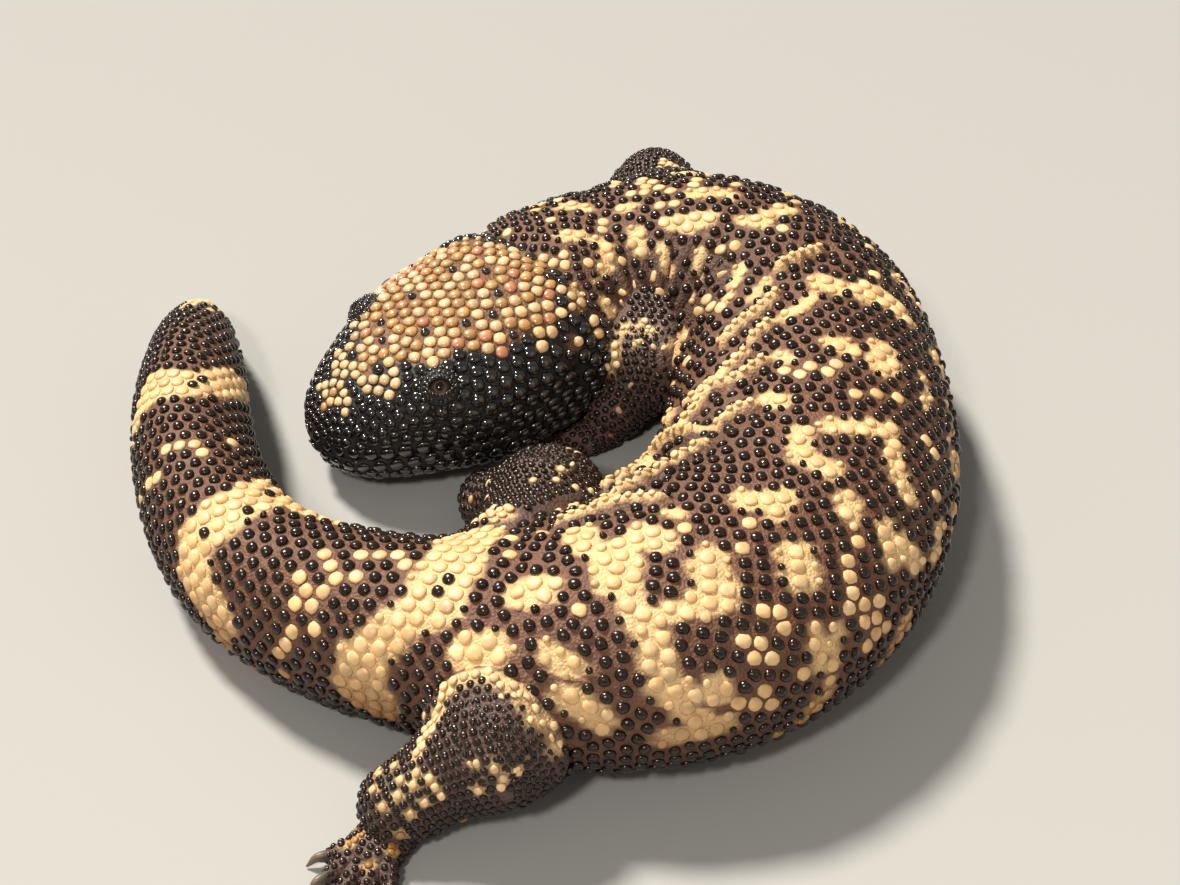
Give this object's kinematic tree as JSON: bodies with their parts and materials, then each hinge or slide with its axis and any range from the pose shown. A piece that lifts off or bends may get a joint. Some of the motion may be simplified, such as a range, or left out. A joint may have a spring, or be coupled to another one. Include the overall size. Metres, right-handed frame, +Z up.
{
  "type": "gila monster model",
  "caption": "Life-size still model of a gila monster resting curled on its belly, with beaded skin, broad head, short clawed legs and a blunt fat tail.",
  "frame": {"origin": "centre of the bounding box seen from above, on the floor under the belly", "axes": "+Z up; +X and +Y lie in the floor; the snout points to -X and -Y, the outside of the curl faces +X, and the tail lies along -X with its tip towards +Y"},
  "size_m": [0.1916, 0.2309, 0.0469],
  "materials": {
    "head_skin": "glossy beaded scales, pinkish crown and black face",
    "body_skin": "satin beaded scales, dark brown with cream to orange blotches",
    "leg_skin": "satin fine beaded scales, dark with pale rings",
    "claw": "smooth horn",
    "eye": "wet gloss"
  },
  "bodies": {
    "root": {"head": "head_skin", "neck": "body_skin", "torso_shoulders": "body_skin", "torso_chest": "body_skin", "torso_middle": "body_skin", "torso_loin": "body_skin", "pelvis": "body_skin", "tail_base": "body_skin", "tail_middle": "body_skin", "tail_rear": "body_skin", "tail_tip": "body_skin", "leg_front_left_upper": "leg_skin", "leg_front_left_lower": "leg_skin", "foot_front_left": "leg_skin", "leg_front_right_upper": "leg_skin", "leg_front_right_lower": "leg_skin", "foot_front_right": "leg_skin", "leg_hind_left_upper": "leg_skin", "leg_hind_left_lower": "leg_skin", "foot_hind_left": "leg_skin", "leg_hind_right_upper": "leg_skin", "leg_hind_right_lower": "leg_skin", "foot_hind_right": "leg_skin", "eye_right": "eye", "eye_left": "eye"}
  },
  "joints": []
}
